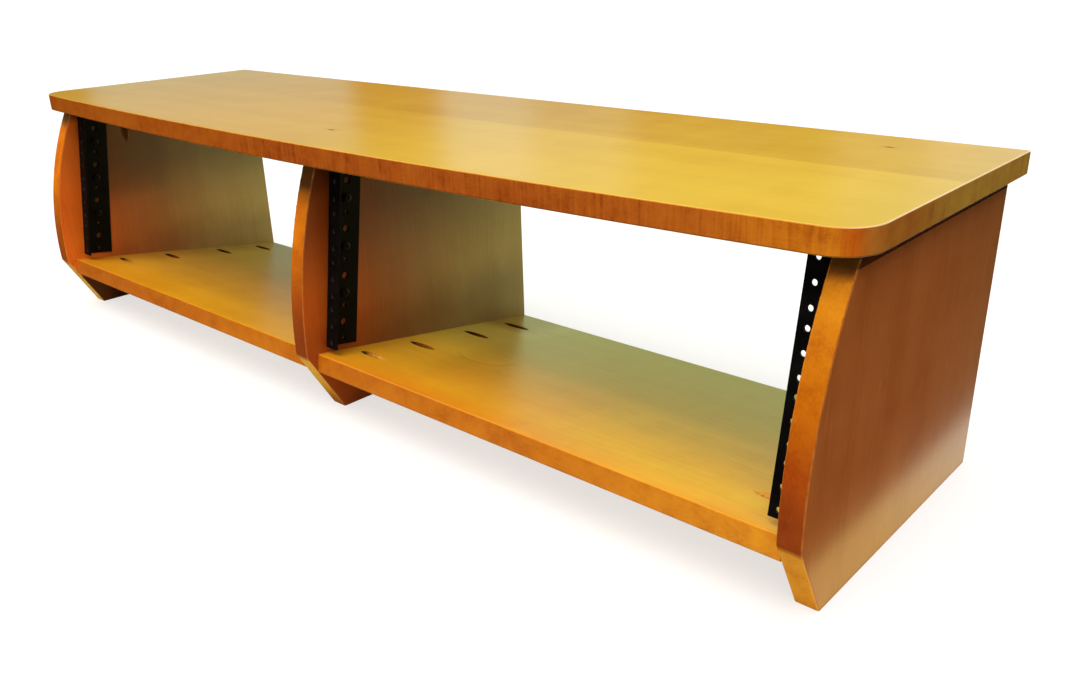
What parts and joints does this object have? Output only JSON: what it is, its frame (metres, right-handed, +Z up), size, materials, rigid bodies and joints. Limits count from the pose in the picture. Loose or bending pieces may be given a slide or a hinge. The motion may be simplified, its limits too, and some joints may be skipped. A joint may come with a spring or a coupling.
{
  "type": "desktop equipment rack",
  "caption": "Low wooden cabinet with two side-by-side open bays for rack-width equipment, sloping shelves, steel rack rails and a bowed top that carries monitors.",
  "frame": {"origin": "on the ground, under the middle of the whole object", "axes": "+X to the right as seen from the front, -Y towards the user at the front, +Z up"},
  "size_m": [1.044, 0.3068, 0.263],
  "materials": {
    "stained_maple": "satin lacquer over honey stain",
    "black_steel": "satin black powder coat",
    "black_screws": "black oxide, slight sheen",
    "plated_screws": "zinc plated"
  },
  "bodies": {
    "root": {"left_side_panel": "stained_maple", "centre_divider": "stained_maple", "right_side_panel": "stained_maple", "left_shelf": "stained_maple", "right_shelf": "stained_maple", "top_panel": "stained_maple", "left_bay_left_rail": "black_steel", "left_bay_left_rail_screws": "black_screws", "left_bay_left_shelf_screws": "plated_screws", "left_bay_right_rail": "black_steel", "left_bay_right_rail_screws": "black_screws", "left_bay_right_shelf_screws": "plated_screws", "right_bay_left_rail": "black_steel", "right_bay_left_rail_screws": "black_screws", "right_bay_left_shelf_screws": "plated_screws", "right_bay_right_rail": "black_steel", "right_bay_right_rail_screws": "black_screws", "right_bay_right_shelf_screws": "plated_screws", "left_side_panel_top_screws": "plated_screws", "centre_divider_top_screws": "plated_screws", "right_side_panel_top_screws": "plated_screws"}
  },
  "joints": []
}
